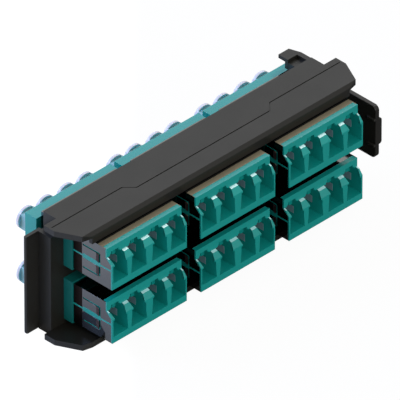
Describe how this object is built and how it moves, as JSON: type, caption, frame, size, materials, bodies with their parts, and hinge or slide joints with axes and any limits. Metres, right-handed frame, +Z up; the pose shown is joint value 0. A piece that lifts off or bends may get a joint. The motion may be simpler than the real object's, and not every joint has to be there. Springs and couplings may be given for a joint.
{
  "type": "fibre adapter panel",
  "caption": "Black snap-in panel with a roof that carries two rows of aqua LC adapters, with dust caps in the rear ports and a release lever at one end.",
  "frame": {"origin": "on the underside, at mid length, in the plane of the panel's front face", "axes": "+X along the panel towards the release lever, +Y to the rear, +Z up"},
  "size_m": [0.1032, 0.0321, 0.0331],
  "materials": {
    "frame_plastic": "satin black moulding",
    "adapter_plastic": "aqua, satin moulding",
    "clip_steel": "bright rolled spring steel",
    "sleeve_ceramic": "ground ceramic",
    "cap_plastic": "soft translucent pale blue"
  },
  "bodies": {
    "panel": {"panel_frame": "frame_plastic", "front_shell_lower_left": "adapter_plastic", "rear_shell_lower_left": "adapter_plastic", "front_clip_lower_left": "clip_steel", "rear_clip_lower_left": "clip_steel", "sleeve_holder_lower_left": "adapter_plastic", "front_shell_lower_middle": "adapter_plastic", "rear_shell_lower_middle": "adapter_plastic", "front_clip_lower_middle": "clip_steel", "rear_clip_lower_middle": "clip_steel", "sleeve_holder_lower_middle": "adapter_plastic", "front_shell_lower_right": "adapter_plastic", "rear_shell_lower_right": "adapter_plastic", "front_clip_lower_right": "clip_steel", "rear_clip_lower_right": "clip_steel", "sleeve_holder_lower_right": "adapter_plastic", "front_shell_upper_left": "adapter_plastic", "rear_shell_upper_left": "adapter_plastic", "front_clip_upper_left": "clip_steel", "rear_clip_upper_left": "clip_steel", "sleeve_holder_upper_left": "adapter_plastic", "front_shell_upper_middle": "adapter_plastic", "rear_shell_upper_middle": "adapter_plastic", "front_clip_upper_middle": "clip_steel", "rear_clip_upper_middle": "clip_steel", "sleeve_holder_upper_middle": "adapter_plastic", "front_shell_upper_right": "adapter_plastic", "rear_shell_upper_right": "adapter_plastic", "front_clip_upper_right": "clip_steel", "rear_clip_upper_right": "clip_steel", "sleeve_holder_upper_right": "adapter_plastic", "alignment_sleeves": "sleeve_ceramic"},
    "lever": {"release_lever": "frame_plastic"},
    "cap_lower_left_a": {"dust_cap_lower_left_a": "cap_plastic"},
    "cap_lower_left_b": {"dust_cap_lower_left_b": "cap_plastic"},
    "cap_lower_left_c": {"dust_cap_lower_left_c": "cap_plastic"},
    "cap_lower_left_d": {"dust_cap_lower_left_d": "cap_plastic"},
    "cap_lower_middle_a": {"dust_cap_lower_middle_a": "cap_plastic"},
    "cap_lower_middle_b": {"dust_cap_lower_middle_b": "cap_plastic"},
    "cap_lower_middle_c": {"dust_cap_lower_middle_c": "cap_plastic"},
    "cap_lower_middle_d": {"dust_cap_lower_middle_d": "cap_plastic"},
    "cap_lower_right_a": {"dust_cap_lower_right_a": "cap_plastic"},
    "cap_lower_right_b": {"dust_cap_lower_right_b": "cap_plastic"},
    "cap_lower_right_c": {"dust_cap_lower_right_c": "cap_plastic"},
    "cap_lower_right_d": {"dust_cap_lower_right_d": "cap_plastic"},
    "cap_upper_left_a": {"dust_cap_upper_left_a": "cap_plastic"},
    "cap_upper_left_b": {"dust_cap_upper_left_b": "cap_plastic"},
    "cap_upper_left_c": {"dust_cap_upper_left_c": "cap_plastic"},
    "cap_upper_left_d": {"dust_cap_upper_left_d": "cap_plastic"},
    "cap_upper_middle_a": {"dust_cap_upper_middle_a": "cap_plastic"},
    "cap_upper_middle_b": {"dust_cap_upper_middle_b": "cap_plastic"},
    "cap_upper_middle_c": {"dust_cap_upper_middle_c": "cap_plastic"},
    "cap_upper_middle_d": {"dust_cap_upper_middle_d": "cap_plastic"},
    "cap_upper_right_a": {"dust_cap_upper_right_a": "cap_plastic"},
    "cap_upper_right_b": {"dust_cap_upper_right_b": "cap_plastic"},
    "cap_upper_right_c": {"dust_cap_upper_right_c": "cap_plastic"},
    "cap_upper_right_d": {"dust_cap_upper_right_d": "cap_plastic"}
  },
  "joints": [
    {"name": "lever_press", "type": "hinge", "parent": "panel", "child": "lever", "pos_m": [0.0499, 0.0021, 0.0166], "axis": [0, 0, -1], "range_deg": [0, 9], "stiffness_Nm_per_rad": 0.02},
    {"name": "pull_cap_lower_left_a", "type": "slide", "parent": "panel", "child": "cap_lower_left_a", "axis": [0, 1, 0], "range_m": [0, 0.012]},
    {"name": "pull_cap_lower_left_b", "type": "slide", "parent": "panel", "child": "cap_lower_left_b", "axis": [0, 1, 0], "range_m": [0, 0.012]},
    {"name": "pull_cap_lower_left_c", "type": "slide", "parent": "panel", "child": "cap_lower_left_c", "axis": [0, 1, 0], "range_m": [0, 0.012]},
    {"name": "pull_cap_lower_left_d", "type": "slide", "parent": "panel", "child": "cap_lower_left_d", "axis": [0, 1, 0], "range_m": [0, 0.012]},
    {"name": "pull_cap_lower_middle_a", "type": "slide", "parent": "panel", "child": "cap_lower_middle_a", "axis": [0, 1, 0], "range_m": [0, 0.012]},
    {"name": "pull_cap_lower_middle_b", "type": "slide", "parent": "panel", "child": "cap_lower_middle_b", "axis": [0, 1, 0], "range_m": [0, 0.012]},
    {"name": "pull_cap_lower_middle_c", "type": "slide", "parent": "panel", "child": "cap_lower_middle_c", "axis": [0, 1, 0], "range_m": [0, 0.012]},
    {"name": "pull_cap_lower_middle_d", "type": "slide", "parent": "panel", "child": "cap_lower_middle_d", "axis": [0, 1, 0], "range_m": [0, 0.012]},
    {"name": "pull_cap_lower_right_a", "type": "slide", "parent": "panel", "child": "cap_lower_right_a", "axis": [0, 1, 0], "range_m": [0, 0.012]},
    {"name": "pull_cap_lower_right_b", "type": "slide", "parent": "panel", "child": "cap_lower_right_b", "axis": [0, 1, 0], "range_m": [0, 0.012]},
    {"name": "pull_cap_lower_right_c", "type": "slide", "parent": "panel", "child": "cap_lower_right_c", "axis": [0, 1, 0], "range_m": [0, 0.012]},
    {"name": "pull_cap_lower_right_d", "type": "slide", "parent": "panel", "child": "cap_lower_right_d", "axis": [0, 1, 0], "range_m": [0, 0.012]},
    {"name": "pull_cap_upper_left_a", "type": "slide", "parent": "panel", "child": "cap_upper_left_a", "axis": [0, 1, 0], "range_m": [0, 0.012]},
    {"name": "pull_cap_upper_left_b", "type": "slide", "parent": "panel", "child": "cap_upper_left_b", "axis": [0, 1, 0], "range_m": [0, 0.012]},
    {"name": "pull_cap_upper_left_c", "type": "slide", "parent": "panel", "child": "cap_upper_left_c", "axis": [0, 1, 0], "range_m": [0, 0.012]},
    {"name": "pull_cap_upper_left_d", "type": "slide", "parent": "panel", "child": "cap_upper_left_d", "axis": [0, 1, 0], "range_m": [0, 0.012]},
    {"name": "pull_cap_upper_middle_a", "type": "slide", "parent": "panel", "child": "cap_upper_middle_a", "axis": [0, 1, 0], "range_m": [0, 0.012]},
    {"name": "pull_cap_upper_middle_b", "type": "slide", "parent": "panel", "child": "cap_upper_middle_b", "axis": [0, 1, 0], "range_m": [0, 0.012]},
    {"name": "pull_cap_upper_middle_c", "type": "slide", "parent": "panel", "child": "cap_upper_middle_c", "axis": [0, 1, 0], "range_m": [0, 0.012]},
    {"name": "pull_cap_upper_middle_d", "type": "slide", "parent": "panel", "child": "cap_upper_middle_d", "axis": [0, 1, 0], "range_m": [0, 0.012]},
    {"name": "pull_cap_upper_right_a", "type": "slide", "parent": "panel", "child": "cap_upper_right_a", "axis": [0, 1, 0], "range_m": [0, 0.012]},
    {"name": "pull_cap_upper_right_b", "type": "slide", "parent": "panel", "child": "cap_upper_right_b", "axis": [0, 1, 0], "range_m": [0, 0.012]},
    {"name": "pull_cap_upper_right_c", "type": "slide", "parent": "panel", "child": "cap_upper_right_c", "axis": [0, 1, 0], "range_m": [0, 0.012]},
    {"name": "pull_cap_upper_right_d", "type": "slide", "parent": "panel", "child": "cap_upper_right_d", "axis": [0, 1, 0], "range_m": [0, 0.012]}
  ]
}
